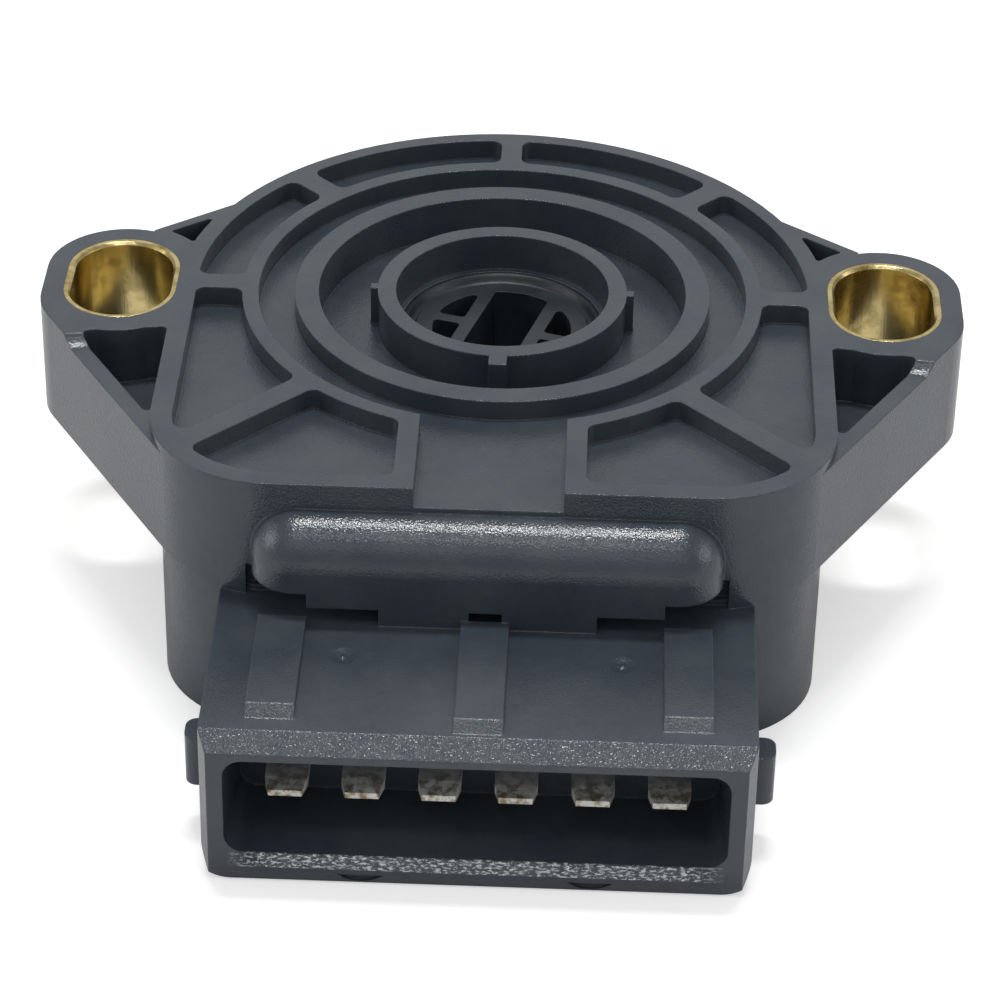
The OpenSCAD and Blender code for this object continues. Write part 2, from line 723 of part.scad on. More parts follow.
// the two stops that end the rotor's travel
module stops() {
    start = stop_az - lug_span / 2 - stop_span - stop_gap;
    end = stop_az + travel + lug_span / 2 + stop_gap;
    for (a = [start, end]) translate([0, 0, -disc_low_z]) linear_extrude(disc_low_z - ceiling_z + eps)
        intersection() {
            difference() {
                inset_outline(body_half_w - deck_w - eps);
                circle(stop_in_r);
            }
            polygon([[0, 0], polar(2 * body_r, a), polar(2 * body_r, a + stop_span)]);
        }
}

// pair of ribs that the spring's upper leg lies between
module spring_seat() {
    way = wire_d + 2 * leg_gap;
    h = min(leg_rib_h, disc_top_z - ceiling_z - disc_gap);
    for (x = [-way / 2 - leg_rib_t, way / 2])
        translate([x, -coil_r - leg_l - 1, -ceiling_z - h]) cube([leg_rib_t, leg_l, h + eps]);
}

// corner pillars, and the posts that pass through the board and are headed over it
module board_posts() {
    for (p = stakes) translate([p[0], p[1], 0]) {
        translate([0, 0, -board_low_z]) cylinder(r = p[2], h = board_t + head_h);
        translate([0, 0, -board_low_z - head_h]) cylinder(r1 = p[2], r2 = p[2] + head_h, h = head_h);
    }
    for (s = [-1, 1]) translate([s * corner_stake[0], corner_stake[1], -board_top_z])
        cylinder(r = pillar_r, h = board_top_z - ceiling_z + eps);
}

// shallow dish with a raised middle
module ejector_mark() {
    dish_r = (eject_r * eject_r + eject_d * eject_d) / (2 * eject_d);
    difference() {
        translate([0, 0, dish_r - eject_d]) sphere(dish_r);
        translate([0, 0, -eject_r / 2]) sphere(eject_r / 2);
    }
}

module housing() {
    color("#2b3138") difference() {
        union() {
            difference() {
                union() {
                    difference() {
                        union() {
                            translate([0, 0, -flange_t]) linear_extrude(flange_t) {
                                flange_outline();
                                for (s = [0, 1]) mirror([s, 0]) ear_face();
                            }
                            translate([0, 0, -flange_t]) linear_extrude(flange_t - web_drop)
                                for (s = [0, 1]) mirror([s, 0]) ear_foot();
                            for (s = [0, 1]) mirror([s, 0, 0]) ear_step();
                            nose_block();
                        }
                        nose_notches();
                    }
                    translate([0, 0, -body_h]) linear_extrude(body_h - flange_t + eps)
                        inset_outline(skirt_inset);
                    shroud();
                }
                cavity();
            }
            translate([0, 0, -tube_end_z]) cylinder(r = tube_r, h = tube_end_z - ceiling_z + 1);
            stops();
            spring_seat();
            board_posts();
        }
        face_cuts();
        translate([0, 0, -pilot_d]) cylinder(r = pilot_r, h = pilot_d + cut);
        translate([0, 0, -seal_floor_z]) cylinder(r = seal_r, h = seal_h + eps);
        translate([0, 0, -tube_end_z - cut])
            cylinder(r = bearing_r, h = tube_end_z - seal_floor_z + cut + eps);
        for (s = [-1, 1]) translate([s * ear_x, 0, -flange_t - cut]) linear_extrude(flange_t + 2 * cut)
            obround(slot_w / 2 + bush_wall, slot_straight);
        socket();
        root_pockets();
        for (i = [1:6]) blade(i);
        for (s = [-1, 1]) translate([s * eject_x, -nose_y - eject_out, -shroud_top]) ejector_mark();
    }
}

// brass liner that takes the screw's clamping load
module bushing(side) {
    r = slot_w / 2;
    color("#b08d3c") translate([side * ear_x, 0, -flange_t]) difference() {
        linear_extrude(flange_t) obround(r + bush_wall, slot_straight);
        translate([0, 0, -cut]) linear_extrude(flange_t + 2 * cut) obround(r, slot_straight);
        for (z = [0, flange_t]) translate([0, 0, z]) mirror([0, 0, z > 0 ? 1 : 0]) slot_break(r);
    }
}

// chamfer around the end of the bushing's slot, from Z = 0 upwards
module slot_break(r) {
    wide = r + bush_chamfer + eps;
    for (a = [0, 180]) rotate(a) translate([0, slot_straight / 2, 0]) rotate_extrude(angle = 180)
        polygon([[0, -eps], [wide, -eps], [r, bush_chamfer], [0, bush_chamfer]]);
    translate([0, slot_straight / 2, 0]) rotate([90, 0, 0]) linear_extrude(slot_straight)
        polygon([[-wide, -eps], [wide, -eps], [r, bush_chamfer], [-r, bush_chamfer]]);
}

module left_bushing() { bushing(-1); }

module right_bushing() { bushing(1); }

// stamped blade i of six: bevelled tip, neck in the wall and a narrow soldered tail
module blade(i) {
    x = (i - 3.5) * pitch;
    tip = -tip_y;
    half = blade_w / 2;
    neck = half - lock_d;
    neck_y = -socket_back_y + wall_t + 0.2;
    root_y = -front_y - 1;
    intersection() {
        translate([x, 0, -board_top_z]) linear_extrude(blade_t)
            polygon([[-half + tip_side, tip], [half - tip_side, tip], [half, tip + tip_l], [half, neck_y],
                     [neck, neck_y], [neck, neck_y + lock_l], [half, neck_y + lock_l],
                     [half, root_y], [tail_w / 2, -front_y], [tail_w / 2, -tail_in_y],
                     [-tail_w / 2, -tail_in_y], [-tail_w / 2, -front_y], [-half, root_y],
                     [-half, neck_y + lock_l], [-neck, neck_y + lock_l], [-neck, neck_y],
                     [-half, neck_y], [-half, tip + tip_l]]);
        translate([x - half, 0, -blade_z]) rotate([90, 0, 90]) linear_extrude(blade_w)
            polygon([[tip, -blade_t / 2 + tip_face], [tip + tip_l, -blade_t / 2], [0, -blade_t / 2],
                     [0, blade_t / 2], [tip + tip_l, blade_t / 2], [tip, blade_t / 2 - tip_face]]);
    }
}

module terminal(i) {
    color("#c2a878") blade(i);
}

// hub, wiper disc and stop lug, moulded in one piece
module rotor() {
    color("#33383c") difference() {
        union() {
            translate([0, 0, -disc_low_z]) cylinder(r = journal_r, h = disc_low_z - head_z);
            translate([0, 0, -disc_low_z]) cylinder(r = disc_r, h = disc_t);
            translate([0, 0, -hub_end_z]) cylinder(r = hub_r, h = hub_end_z - disc_low_z + eps);
            translate([0, 0, -disc_low_z]) linear_extrude(disc_t) intersection() {
                circle(stop_lug_r);
                polygon([[0, 0], polar(2 * stop_lug_r, stop_az - lug_span / 2),
                         polar(2 * stop_lug_r, stop_az + lug_span / 2)]);
            }
            for (w = [0, 1]) wiper_rivets(w, disc_low_z + wiper_t + rivet_h, rivet_h + wiper_t + eps);
        }
        translate([0, 0, -head_z - drive_d]) linear_extrude(drive_d + cut) rotate(-drive_az) drive_openings();
        translate([0, 0, -hub_end_z - cut])
            cylinder(r = pivot_r + pivot_gap, h = hub_end_z - pivot_top_z + 0.3 + cut);
        translate([0, coil_r, -disc_low_z - cut]) cylinder(r = wire_d / 2 + 0.15, h = disc_t + 2 * cut);
    }
}

// slot for the throttle shaft, and the four windows beside it
module drive_openings() {
    intersection() {
        circle(head_in_r);
        translate([-drive_w / 2, -2 * head_in_r]) square([drive_w, 4 * head_in_r]);
    }
    plates_w = drive_w + 2 * drive_plate_t;
    rounded(0.3) difference() {
        circle(head_in_r);
        translate([-plates_w / 2, -2 * head_in_r]) square([plates_w, 4 * head_in_r]);
        translate([-2 * head_in_r, -drive_rib_w / 2]) square([4 * head_in_r, drive_rib_w]);
    }
}

// rubber lip seal in the mouth of the bearing
module rotor_seal() {
    lip = journal_r + 0.02;
    color("#3c4143") rotate_extrude() polygon([
        [lip + 0.25, -seal_floor_z], [seal_r, -seal_floor_z], [seal_r, -pilot_d - 0.05],
        [seal_r - 0.3, -pilot_d], [lip + 0.35, -head_z - 0.1], [lip, -head_z - 0.25],
        [lip, -head_z - 0.5], [lip + 0.4, -head_z - 0.9], [lip + 0.25, -head_z - 1.2]]);
}

module thrust_washer() {
    color("#d9d5c7") translate([0, 0, -disc_top_z]) linear_extrude(washer_t) difference() {
        circle(tube_r);
        circle(journal_r + 0.15);
    }
}

// torsion spring: closed turns around the bearing tube, one leg up and one leg down
function spring_path() =
    let (n = 20, top = ceiling_z + wire_d / 2 + 0.1, low = top + coil_room, step = coil_room / turns)
    concat(
        [[0, -coil_r - leg_l, -top]],
        [for (i = [0:n * turns]) let (a = -90 + 360 * i / n, r = coil_r)
            [r * cos(a), r * sin(a), -top - step * i / n]],
        [[0, coil_r, -low - wire_d / 2 - 0.1 - disc_t * 0.6]]);

// closed tube of 8 sides along a list of points
module tube_along(p, r, sides) {
    n = len(p);
    function dir(i) = let (d = p[min(i + 1, n - 1)] - p[max(i - 1, 0)]) d / norm(d);
    function side(d) = let (v = cross(d, abs(d[2]) > 0.7 ? [0, 1, 0] : [0, 0, 1])) v / norm(v);
    pts = [for (i = [0:n - 1]) let (d = dir(i), u = side(d), v = cross(u, d))
        for (k = [0:sides - 1]) let (a = 360 * k / sides) p[i] + r * (u * cos(a) + v * sin(a))];
    walls = [for (i = [0:n - 2]) for (k = [0:sides - 1]) let (m = (k + 1) % sides)
        [i * sides + k, (i + 1) * sides + k, (i + 1) * sides + m, i * sides + m]];
    polyhedron(points = pts, faces = concat(walls, [[for (k = [0:sides - 1]) k]],
        [[for (k = [sides - 1:-1:0]) (n - 1) * sides + k]]), convexity = 10);
}

module return_spring() {
    color("#9aa0a5") tube_along(spring_path(), wire_d / 2, 8);
}

// the two stations of the wipers under the disc
module wiper_place(w) {
    rotate(w == 0 ? 100 : -150) children();
}

// rivets of a wiper: from depth z upwards
module wiper_rivets(w, z, h) {
    for (k = [0, 1]) wiper_place(w)
        translate([track_r[2 * w + k], arm_run + wiper_strip_w / 2, -z]) cylinder(r = rivet_r, h = h);
}

// stamped contact: a riveted strip under the disc and four spring arms down to two tracks
module wiper(w) {
    z0 = disc_low_z + wiper_t;
    fall = board_top_z - track_t - tip_gap - z0;
    color("#c9a24c") difference() {
        wiper_place(w) {
            translate([track_r[2 * w] - 0.9, arm_run, -z0])
                cube([track_r[2 * w + 1] - track_r[2 * w] + 1.8, wiper_strip_w, wiper_t]);
            for (k = [0, 1]) for (s = [-arm_off, arm_off])
                translate([track_r[2 * w + k] + s - arm_w / 2, 0, -z0]) rotate([90, 0, 90])
                    linear_extrude(arm_w) polygon([[arm_run + 0.2, 0], [arm_run + 0.2, wiper_t],
                        [arm_run - 0.3, wiper_t], [0, wiper_t - fall], [-0.8, wiper_t - fall + arm_tip_h],
                        [-0.8, arm_tip_h - fall], [-0.1, -fall], [arm_run - 0.2, 0]]);
        }
        wiper_rivets(w, z0 + cut, wiper_t + 2 * cut);
    }
}

module wiper_inner() { wiper(0); }

module wiper_outer() { wiper(1); }

// board with printed tracks, seated on the ledge of the housing
module element_board() {
    color("#4a6b4f") difference() {
        union() {
            translate([0, 0, -board_low_z]) linear_extrude(board_t)
                inset_outline(body_half_w - cavity_w + edge_gap);
            for (r = track_r) translate([0, 0, -board_top_z - eps]) linear_extrude(track_t + eps)
                difference() {
                    circle(r + track_w / 2);
                    circle(r - track_w / 2);
                }
        }
        translate([0, 0, -board_low_z - cut]) cylinder(r = board_hole_r, h = board_t + 2 * cut);
        for (p = stakes) translate([p[0], p[1], -board_low_z - cut])
            cylinder(r = p[2], h = board_t + 2 * cut);
    }
}

// solder on the six tails
module solder_joints() {
    color("#b9bcc0") for (i = [1:6]) translate([(i - 3.5) * pitch, 0, 0]) difference() {
        translate([0, -tail_in_y - 0.2, -board_top_z])
            cylinder(r1 = tail_w / 2 + 0.6, r2 = tail_w / 2, h = blade_t + 0.25);
        translate([-tail_w / 2, -tail_in_y - tail_l, -board_top_z - cut])
            cube([tail_w, tail_l, blade_t + cut]);
    }
}

// wavy spring washer under the rotor's hub
module wave_washer() {
    n = 48;
    t = wave_t;
    r_in = pivot_r + 0.3;
    r_out = hub_r - 0.2;
    rise = wave_h - t;
    z0 = -cover_top_z + cover_boss_h + wave_gap;
    pts = [for (i = [0:n - 1]) let (a = 360 * i / n, z = z0 + rise * (1 + cos(3 * a)) / 2)
        for (q = [[r_in, 0], [r_out, 0], [r_out, t], [r_in, t]]) [q[0] * cos(a), q[0] * sin(a), z + q[1]]];
    faces = [for (i = [0:n - 1]) for (k = [0:3]) let (j = (i + 1) % n, m = (k + 1) % 4)
        [i * 4 + k, i * 4 + m, j * 4 + m, j * 4 + k]];
    color("#a5a9ad") polyhedron(points = pts, faces = faces, convexity = 6);
}

// bead of sealing compound in the moat around the cover
module sealant_bead() {
    color("#202326") translate([0, 0, -body_h + bead_low]) linear_extrude(cover_t - bead_low) difference() {
        inset_outline(body_half_w - cover_hole_w);
        inset_outline(body_half_w - cover_w);
    }
}

// rear cover with the pivot that carries the rotor's hub
module rear_cover() {
    color("#2f353b") difference() {
        union() {
            translate([0, 0, -body_h]) linear_extrude(cover_t) inset_outline(body_half_w - cover_w);
            translate([0, 0, -cover_top_z - eps]) cylinder(r = hub_r, h = cover_boss_h + eps);
            translate([0, 0, -cover_top_z - eps]) cylinder(r = pivot_r, h = cover_top_z - pivot_top_z + eps);
        }
        translate([0, 0, -body_h - cut]) cylinder(r = gate_r, h = cut + gate_d);
        translate([0, 0, -body_h - cut]) linear_extrude(cut + panel_d) difference() {
            inset_outline(body_half_w - cover_w + panel_in);
            inset_outline(body_half_w - cover_w + panel_in + panel_w);
        }
    }
}

housing();
rear_cover();
sealant_bead();
left_bushing();
right_bushing();
for (i = [1:6]) terminal(i);
rotor();
rotor_seal();
thrust_washer();
return_spring();
wiper_inner();
wiper_outer();
element_board();
solder_joints();
wave_washer();
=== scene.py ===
import math

import bpy
from mathutils import Matrix, Vector


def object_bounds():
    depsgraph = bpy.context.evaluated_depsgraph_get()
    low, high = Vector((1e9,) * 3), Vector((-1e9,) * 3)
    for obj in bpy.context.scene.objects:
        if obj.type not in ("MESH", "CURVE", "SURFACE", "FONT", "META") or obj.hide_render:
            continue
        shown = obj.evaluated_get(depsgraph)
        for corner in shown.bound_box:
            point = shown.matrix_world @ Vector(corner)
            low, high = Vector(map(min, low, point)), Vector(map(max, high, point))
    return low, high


# Throttle position sensor: finishes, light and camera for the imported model. Everything is in metres.
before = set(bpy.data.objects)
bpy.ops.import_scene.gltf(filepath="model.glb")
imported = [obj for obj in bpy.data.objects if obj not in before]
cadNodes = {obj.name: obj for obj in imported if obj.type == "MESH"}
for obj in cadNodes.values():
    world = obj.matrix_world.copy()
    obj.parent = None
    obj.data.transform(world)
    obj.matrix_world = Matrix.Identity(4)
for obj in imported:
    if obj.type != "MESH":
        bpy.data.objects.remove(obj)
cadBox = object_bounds()
mm = 0.001
print("frame loaded with", len(cadNodes), "nodes")

# Shared by all the finishes
mixFrom, mixTo, mixResult = 6, 7, 2  # the sockets of a mix node that take and give colours
noiseLow, noiseHigh = 0.3, 0.7  # nearly all of a noise texture's values lie between these
bevelSamples = 4


# sRGB hex to the linear colour that Blender mixes with, by the sRGB standard's own numbers
def linearColour(code):
    channels = [int(code[i:i + 2], 16) / 255 for i in (0, 2, 4)]
    return tuple(c / 12.92 if c <= 0.04045 else ((c + 0.055) / 1.055) ** 2.4 for c in channels) + (1,)


# Adds one node: its settings, and for each input either a value or the socket that feeds it
def addNode(tree, kind, inputs=None, **settings):
    node = tree.nodes.new(kind)
    for name, value in settings.items():
        setattr(node, name, value)
    for name, value in (inputs or {}).items():
        if isinstance(value, bpy.types.NodeSocket):
            tree.links.new(value, node.inputs[name])
        else:
            node.inputs[name].default_value = value
    return node


# A fresh material with its shader, and the position in the part's own frame
def startMaterial(name, shaderInputs):
    material = bpy.data.materials.new(name)
    material.use_nodes = True
    tree = material.node_tree
    shader = tree.nodes["Principled BSDF"]
    for socket, value in shaderInputs.items():
        shader.inputs[socket].default_value = value
    place = addNode(tree, "ShaderNodeTexCoord").outputs["Object"]
    return material, tree, shader, place


# Links what the pattern gives to the shader's sockets
def finishMaterial(tree, shader, sockets):
    for name, source in sockets.items():
        tree.links.new(source, shader.inputs[name])


def dress(material, *names):
    for name in names:
        mesh = cadNodes[name].data
        mesh.materials.clear()
        mesh.materials.append(material)


# Glass-filled nylon, injection moulded in a spark-eroded tool: a dark blue-grey with a fine
# stipple that sparkles where it catches a lamp, paler dusty patches, and edges made paler partly as
# rubbing and partly as painted highlight
housingSettings = {
    "darkHex": "353c45",
    "paleHex": "42494f",
    # paler edge colour: partly rubbing, partly painted highlight
    "edgeWearAndHighlightHex": "5c6267",
    "scuffHex": "a3a8ab",
    "ior": 1.53,
    "roughLow": 0.14,
    "roughHigh": 0.21,
    "stippleMm": 0.14,  # real spark marks are nearer 0.05 mm, drawn this coarse to show
    "stippleDepthMm": 0.03,
    "cloudMm": 7,
    "scuffMm": 0.4,
    "edgeMm": 0.16,
}
# The slope on the lower lip of the socket, which the solid has flat. Pale streaks on it are painted glints
# of lamp light
lipSettings = {
    "faceYmm": -41.95,  # the slope is only drawn in front of this
    "lowZmm": -19.1,
    "topZmm": -17.85,
    "fallMm": 1.4,
    "halfMm": 16.2,
    "fadeMm": 2.2,
    "glintMm": 0.2,
    "glintAlong": (0.45, 1, 1),  # draws each painted glint out along the lip
    "glintLow": 0.5,  # the noise at which a painted glint begins, and where it is at its brightest
    "glintHigh": 0.6,
    "paintedGlintHex": "e4e8ea",
}
# How the mouldings wear, with a painted highlight: every corner, concave ones too, is made paler, partly
# as rubbing and partly as painted highlight. A corner is found by the cosine between its true face and the
# rounded one
wearSettings = {
    "flatCosine": 0.995,
    "sharpCosine": 0.85,
    "mostWearAndHighlight": 0.25,  # share of the paler edge colour, rubbing and painted highlight, on the sharpest corner
    "scuffLow": 0.6,
    "scuffHigh": 0.66,
    "dustLow": 0.35,
    "dustHigh": 0.68,
}


# Gives the normals of the slope, and a mask of the painted glints on it
def slopedLip(tree, place, normal, settings):
    spot = addNode(tree, "ShaderNodeSeparateXYZ", {"Vector": place})
    fall = addNode(tree, "ShaderNodeMapRange", {
        "Value": spot.outputs["Z"], "From Min": settings["lowZmm"] * mm,
        "From Max": settings["topZmm"] * mm, "To Min": 1, "To Max": 0})
    aside = addNode(tree, "ShaderNodeMath", {0: spot.outputs["X"]}, operation="ABSOLUTE")
    ends = addNode(tree, "ShaderNodeMapRange", {
        "Value": aside.outputs["Value"], "From Min": settings["halfMm"] * mm,
        "From Max": (settings["halfMm"] - settings["fadeMm"]) * mm})
    face = addNode(tree, "ShaderNodeMath", {0: spot.outputs["Y"], 1: settings["faceYmm"] * mm},
                   operation="LESS_THAN")
    within = addNode(tree, "ShaderNodeMath", {0: ends.outputs["Result"], 1: face.outputs["Value"]},
                     operation="MULTIPLY")
    height = addNode(tree, "ShaderNodeMath", {0: fall.outputs["Result"], 1: within.outputs["Value"]},
                     operation="MULTIPLY")
    slope = addNode(tree, "ShaderNodeBump", {
        "Height": height.outputs["Value"], "Distance": settings["fallMm"] * mm, "Strength": 1,
        "Normal": normal})
    # Painted glints: pale streaks drawn out along the lip, standing in for lamp light caught on the slope
    stretched = addNode(tree, "ShaderNodeMapping", {"Vector": place, "Scale": settings["glintAlong"]})
    glintNoise = addNode(tree, "ShaderNodeTexNoise", {
        "Vector": stretched.outputs["Vector"], "Scale": 1 / (settings["glintMm"] * mm), "Detail": 3,
        "Roughness": 0.7})
    bright = addNode(tree, "ShaderNodeMapRange", {
        "Value": glintNoise.outputs["Fac"], "From Min": settings["glintLow"],
        "From Max": settings["glintHigh"]})
    above = addNode(tree, "ShaderNodeMath", {0: spot.outputs["Z"], 1: settings["lowZmm"] * mm},
                    operation="GREATER_THAN")
    below = addNode(tree, "ShaderNodeMath", {0: spot.outputs["Z"], 1: settings["topZmm"] * mm},
                    operation="LESS_THAN")
    band = addNode(tree, "ShaderNodeMath", {0: above.outputs["Value"], 1: below.outputs["Value"]},
                   operation="MULTIPLY")
    onSlope = addNode(tree, "ShaderNodeMath", {0: band.outputs["Value"], 1: within.outputs["Value"]},
                      operation="MULTIPLY")
    scraped = addNode(tree, "ShaderNodeMath", {0: bright.outputs["Result"], 1: onSlope.outputs["Value"]},
                      operation="MULTIPLY")
    return slope.outputs["Normal"], scraped.outputs["Value"]


def mouldedPlastic(name, settings, lip=None):
    wear = wearSettings
    material, tree, shader, place = startMaterial(name, {"IOR": settings["ior"]})
    edge = addNode(tree, "ShaderNodeBevel", {"Radius": settings["edgeMm"] * mm}, samples=bevelSamples)
    stipple = addNode(tree, "ShaderNodeTexNoise", {
        "Vector": place, "Scale": 1 / (settings["stippleMm"] * mm), "Detail": 1, "Roughness": 0.5})
    cloud = addNode(tree, "ShaderNodeTexNoise", {
        "Vector": place, "Scale": 1 / (settings["cloudMm"] * mm), "Detail": 4, "Roughness": 0.65})
    under = edge.outputs["Normal"]
    if lip:
        under, scraped = slopedLip(tree, place, under, lip)
    grain = addNode(tree, "ShaderNodeBump", {
        "Height": stipple.outputs["Fac"], "Distance": settings["stippleDepthMm"] * mm, "Strength": 1,
        "Normal": under})
    flat = addNode(tree, "ShaderNodeNewGeometry")
    agree = addNode(tree, "ShaderNodeVectorMath", {0: flat.outputs["Normal"], 1: edge.outputs["Normal"]},
                    operation="DOT_PRODUCT")
    # Paler edges, concave corners too: partly rubbing, partly a painted highlight
    edgeWearAndHighlight = addNode(tree, "ShaderNodeMapRange", {
        "Value": agree.outputs["Value"], "From Min": wear["flatCosine"], "From Max": wear["sharpCosine"],
        "To Min": 0, "To Max": wear["mostWearAndHighlight"]})
    flecks = addNode(tree, "ShaderNodeTexNoise", {
        "Vector": place, "Scale": 1 / (settings["scuffMm"] * mm), "Detail": 3, "Roughness": 0.7})
    scuffed = addNode(tree, "ShaderNodeMapRange", {
        "Value": flecks.outputs["Fac"], "From Min": wear["scuffLow"], "From Max": wear["scuffHigh"]})
    scuff = addNode(tree, "ShaderNodeMath", {0: edgeWearAndHighlight.outputs["Result"], 1: scuffed.outputs["Result"]},
                    operation="MULTIPLY")
    patchy = addNode(tree, "ShaderNodeMapRange", {
        "Value": cloud.outputs["Fac"], "From Min": wear["dustLow"], "From Max": wear["dustHigh"]})
    body = addNode(tree, "ShaderNodeMix", {
        "Factor": patchy.outputs["Result"], mixFrom: linearColour(settings["darkHex"]),
        mixTo: linearColour(settings["paleHex"])}, data_type="RGBA")
    # Edge colour mixed in: rubbing and painted highlight
    rubbed = addNode(tree, "ShaderNodeMix", {
        "Factor": edgeWearAndHighlight.outputs["Result"], mixFrom: body.outputs[mixResult],
        mixTo: linearColour(settings["edgeWearAndHighlightHex"])}, data_type="RGBA")
    colour = addNode(tree, "ShaderNodeMix", {
        "Factor": scuff.outputs["Value"], mixFrom: rubbed.outputs[mixResult],
        mixTo: linearColour(settings["scuffHex"])}, data_type="RGBA")
    # Painted glints on the lip's slope, mixed in as a near-white colour
    if lip:
        colour = addNode(tree, "ShaderNodeMix", {
            "Factor": scraped, mixFrom: colour.outputs[mixResult],
            mixTo: linearColour(lip["paintedGlintHex"])}, data_type="RGBA")
    rough = addNode(tree, "ShaderNodeMapRange", {
        "Value": cloud.outputs["Fac"], "From Min": noiseLow, "From Max": noiseHigh,
        "To Min": settings["roughLow"], "To Max": settings["roughHigh"]})
    finishMaterial(tree, shader, {
        "Base Color": colour.outputs[mixResult], "Roughness": rough.outputs["Result"],
        "Normal": grain.outputs["Normal"]})
    return material


dress(mouldedPlastic("glassFilledNylon", housingSettings, lipSettings), "housing")
print("housing dressed")

# The cover is the same nylon, from a smoother tool
coverSettings = {
    "darkHex": "2a3038",
    "paleHex": "353c43",
    # paler edge colour: partly rubbing, partly painted highlight
    "edgeWearAndHighlightHex": "555b60",
    "scuffHex": "8d9296",
    "ior": 1.53,
    "roughLow": 0.36,
    "roughHigh": 0.46,
    "stippleMm": 0.3,  # coarser than it is, as on the housing
    "stippleDepthMm": 0.02,
    "cloudMm": 9,
    "scuffMm": 0.5,
    "edgeMm": 0.12,
}
dress(mouldedPlastic("mouldedNylonCover", coverSettings), "rear_cover")
print("cover dressed")

# Acetal, moulded in a polished tool: a slick dark grey with soft, broad reflections
rotorSettings = {
    "darkHex": "23292f",
    "paleHex": "2f363c",
    # paler edge colour: partly rubbing, partly painted highlight
    "edgeWearAndHighlightHex": "63676c",
    "scuffHex": "8c9094",
    "ior": 1.48,
    "roughLow": 0.34,
    "roughHigh": 0.44,
    "stippleMm": 0.5,  # faint waves from the moulding, no grain of the tool
    "stippleDepthMm": 0.012,
    "cloudMm": 3,
    "scuffMm": 0.5,
    "edgeMm": 0.1,
}
dress(mouldedPlastic("mouldedAcetal", rotorSettings), "rotor")
print("rotor dressed")

# Brass, turned and broached: bright gold where it is cut, with fine marks along the bore and brown
# tarnish in patches
bushingSettings = {
    "brightHex": "dcc98f",
    "tarnishHex": "93804a",
    "tarnishLow": 0.42,
    "tarnishHigh": 0.7,
    "roughLow": 0.15,
    "roughHigh": 0.3,
    "markMm": 0.25,  # broach marks are nearer 0.05 mm, drawn this coarse to show
    "markAlong": (1, 1, 0.04),  # draws each mark out along the bore, as the broach leaves it
    "markDepthMm": 0.012,
    "patchMm": 1.8,
    "edgeMm": 0.1,
    "edgeSamples": 6,
}


def machinedBrass(name, settings):
    material, tree, shader, place = startMaterial(name, {"Metallic": 1})
    stretched = addNode(tree, "ShaderNodeMapping", {"Vector": place, "Scale": settings["markAlong"]})
    marks = addNode(tree, "ShaderNodeTexNoise", {
        "Vector": stretched.outputs["Vector"], "Scale": 1 / (settings["markMm"] * mm), "Detail": 3})
    patches = addNode(tree, "ShaderNodeTexNoise", {
        "Vector": place, "Scale": 1 / (settings["patchMm"] * mm), "Detail": 5, "Roughness": 0.6})
    edge = addNode(tree, "ShaderNodeBevel", {"Radius": settings["edgeMm"] * mm},
                   samples=settings["edgeSamples"])
    cuts = addNode(tree, "ShaderNodeBump", {
        "Height": marks.outputs["Fac"], "Distance": settings["markDepthMm"] * mm, "Strength": 1,
        "Normal": edge.outputs["Normal"]})
    tarnish = addNode(tree, "ShaderNodeMapRange", {
        "Value": patches.outputs["Fac"], "From Min": settings["tarnishLow"],
        "From Max": settings["tarnishHigh"]})
    colour = addNode(tree, "ShaderNodeMix", {
        "Factor": tarnish.outputs["Result"], mixFrom: linearColour(settings["brightHex"]),
        mixTo: linearColour(settings["tarnishHex"])}, data_type="RGBA")
    rough = addNode(tree, "ShaderNodeMapRange", {
        "Value": patches.outputs["Fac"], "From Min": noiseLow, "From Max": noiseHigh,
        "To Min": settings["roughLow"], "To Max": settings["roughHigh"]})
    finishMaterial(tree, shader, {
        "Base Color": colour.outputs[mixResult], "Roughness": rough.outputs["Result"],
        "Normal": cuts.outputs["Normal"]})
    return material


dress(machinedBrass("turnedBrass", bushingSettings), "left_bushing", "right_bushing")
print("bushings dressed")

# Tin plate on stamped brass: a pale grey shine, dulled in patches by a film of oxide, with fine
# rubbing marks along the blade and dull brass where plugs have scraped the tip
terminalSettings = {
    "tinHex": "dcdbd6",
    "scrapedHex": "a3946e",
    "roughLow": 0.42,
    "roughHigh": 0.68,
    "filmLow": 0.35,  # the noise under which the film is whole, and over which it is gone
    "filmHigh": 0.6,
    "filmMetallic": 0.1,
    "markMm": 0.12,  # rubbing marks are finer, drawn this coarse to show
    "markAlong": (1, 0.06, 1),  # draws each mark out along the blade
    "markDepthMm": 0.01,
    "patchMm": 0.7,
    "edgeMm": 0.08,
    "tipYmm": -40.0,
    "scrapedMm": 2.2,
    "scrapedLow": 0.45,
    "scrapedHigh": 0.6,
    "scrapedBehind": 0.15,  # how much of the scraping goes on past the tip
}


